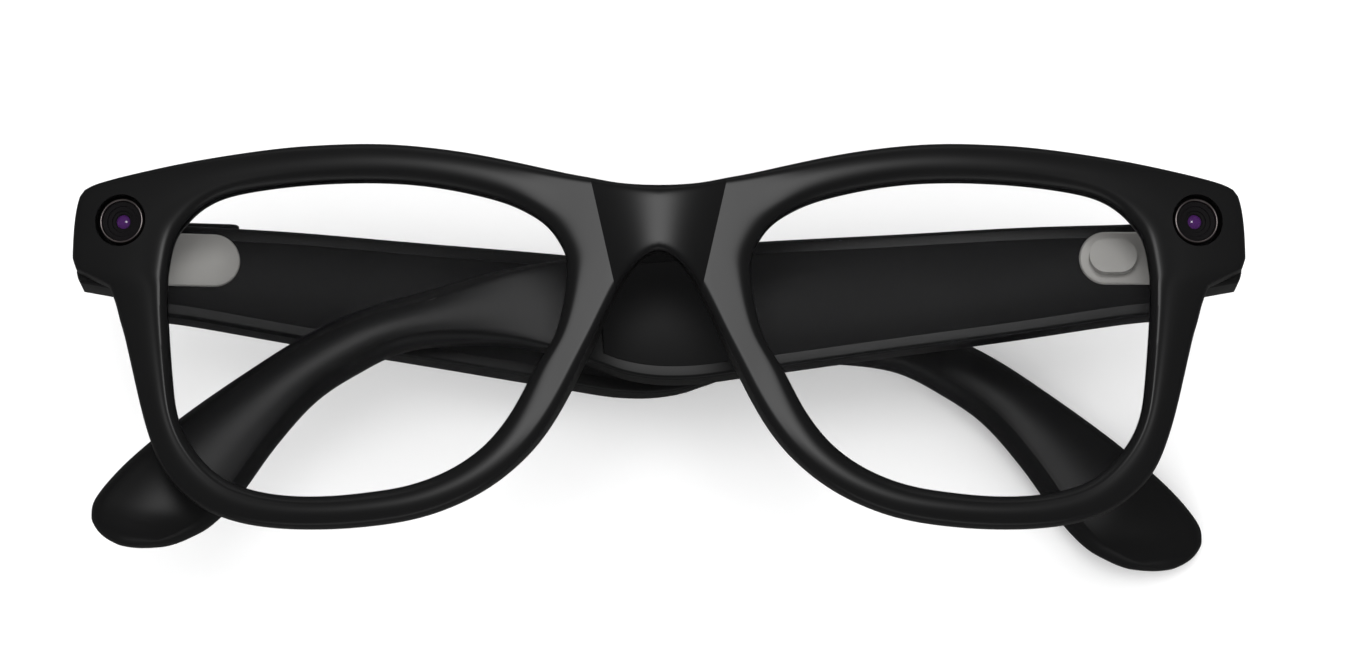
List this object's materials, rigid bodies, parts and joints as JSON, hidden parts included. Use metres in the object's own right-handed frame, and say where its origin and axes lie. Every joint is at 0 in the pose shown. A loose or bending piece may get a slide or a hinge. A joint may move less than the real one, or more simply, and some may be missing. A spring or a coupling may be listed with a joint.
{
  "type": "smart glasses",
  "caption": "Smart glasses with a thick black frame, clear lenses, round camera and light ports, and folding temples with a button and a slide switch.",
  "frame": {"origin": "below the middle of the folded glasses, at the lowest point of the right temple", "axes": "+X towards the wearer's left, +Y towards the brow, +Z forwards out of the lenses, so the folded glasses lie on their temples"},
  "size_m": [0.1474, 0.0488, 0.0444],
  "materials": {
    "black_frame": "satin matte",
    "black_cover": "satin matte",
    "satin_nickel": "satin",
    "clear_lens": "polished",
    "dark_glass": "polished",
    "module_black": "gloss",
    "light_guide": "frosted",
    "circuit_board": "solder mask",
    "gold_contact": "plated",
    "cell_foil": "foil",
    "pin_steel": "polished"
  },
  "bodies": {
    "right_temple": {"right_housing": "black_frame", "right_cover": "black_cover", "right_plate": "satin_nickel", "button_switch": "module_black", "touch_sensor": "gold_contact", "main_board": "circuit_board", "processor": "module_black", "right_speaker": "module_black", "right_microphone": "gold_contact"},
    "front": {"front_frame": "black_frame", "lens_right": "clear_lens", "lens_left": "clear_lens", "camera_housing": "black_frame", "light_housing": "black_frame", "camera_ring": "satin_nickel", "camera_glass": "dark_glass", "camera_barrel": "module_black", "camera_board": "circuit_board", "light_ring": "satin_nickel", "light_window": "dark_glass", "light_guide": "light_guide", "light_board": "circuit_board", "front_leaf_right": "satin_nickel", "front_leaf_left": "satin_nickel", "leaf_screws_right": "pin_steel", "leaf_screws_left": "pin_steel", "hinge_pin_right": "pin_steel", "hinge_pin_left": "pin_steel", "nose_microphone": "module_black", "charge_contacts": "gold_contact"},
    "left_temple": {"left_housing": "black_frame", "left_cover": "black_cover", "left_plate": "satin_nickel", "slide_switch": "module_black", "battery": "cell_foil", "battery_board": "circuit_board", "left_speaker": "module_black", "left_microphone": "gold_contact"},
    "capture_key": {"capture_button": "black_frame"},
    "power_knob": {"power_slider": "satin_nickel"}
  },
  "joints": [
    {"name": "right_temple_hinge", "type": "hinge", "parent": "right_temple", "child": "front", "pos_m": [-0.0671, 0.01277, 0.02346], "axis": [0, -1, 0], "range_deg": [0, 80.5]},
    {"name": "left_temple_hinge", "type": "hinge", "parent": "front", "child": "left_temple", "pos_m": [0.0671, 0.01277, 0.02346], "axis": [0, -1, 0], "range_deg": [0, 90]},
    {"name": "capture_button_press", "type": "slide", "parent": "right_temple", "child": "capture_key", "axis": [0, -1, 0], "range_m": [0, 0.0004], "stiffness_N_per_m": 150, "springref_m": -0.001},
    {"name": "power_slide", "type": "slide", "parent": "left_temple", "child": "power_knob", "axis": [-1, 0, 0], "range_m": [0, 0.0017]}
  ],
  "couplings": [
    {"joint": "left_temple_hinge", "follows": "right_temple_hinge", "ratio": 0.2}
  ]
}
